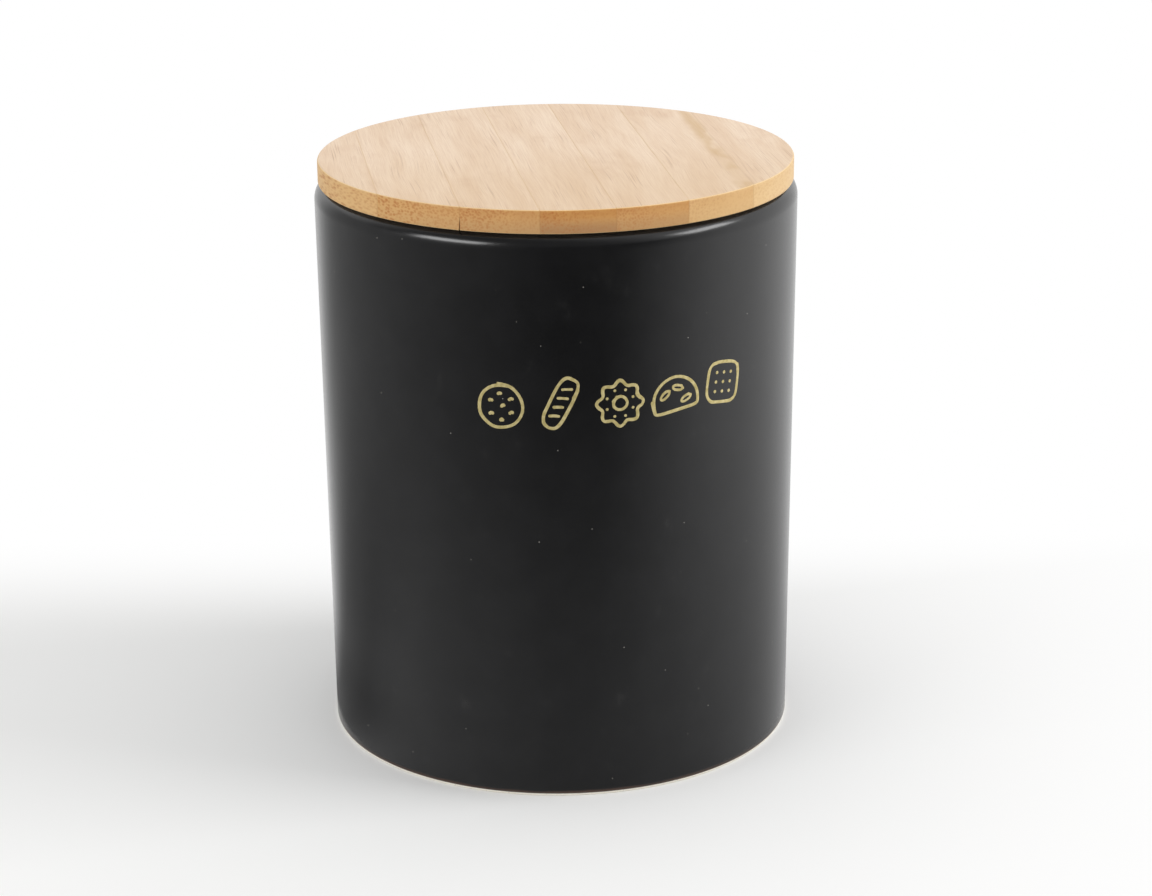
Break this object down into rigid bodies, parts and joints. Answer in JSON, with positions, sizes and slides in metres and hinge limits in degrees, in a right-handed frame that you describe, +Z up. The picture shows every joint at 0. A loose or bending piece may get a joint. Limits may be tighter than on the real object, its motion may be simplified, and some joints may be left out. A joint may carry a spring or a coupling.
{
  "type": "biscuit jar",
  "caption": "Round matt glazed ceramic jar with a lift-off laminated bamboo lid and a silicone seal, for keeping biscuits dry.",
  "frame": {"origin": "centre of the foot ring on the surface that the jar stands on", "axes": "+Z up along the jar's axis, -Y out of the decorated front, +X to the right when facing the front"},
  "size_m": [0.14, 0.14, 0.172],
  "materials": {
    "matt_glaze": "matt black glaze",
    "bare_clay": "unglazed cream clay at the foot ring",
    "bamboo": "sanded and oiled natural bamboo",
    "silicone": "translucent food-grade silicone",
    "gold_print": "fired-on matt gold decoration"
  },
  "bodies": {
    "jar": {"jar_body": "matt_glaze"},
    "seal": {"seal_ring": "silicone"},
    "lid": {"lid_strip_1": "bamboo", "lid_strip_2": "bamboo", "lid_strip_3": "bamboo", "lid_strip_4": "bamboo", "lid_strip_5": "bamboo", "lid_strip_6": "bamboo", "lid_strip_7": "bamboo", "plug_strip_1": "bamboo", "plug_strip_2": "bamboo", "plug_strip_3": "bamboo", "plug_strip_4": "bamboo", "plug_strip_5": "bamboo", "plug_strip_6": "bamboo"}
  },
  "joints": [
    {"name": "lid_lift", "type": "slide", "parent": "jar", "child": "seal", "axis": [0, 0, 1], "range_m": [0, 0.12]},
    {"name": "lid_turn", "type": "hinge", "parent": "seal", "child": "lid", "pos_m": [0, 0, 0.1653], "axis": [0, 0, 1], "continuous": true}
  ]
}
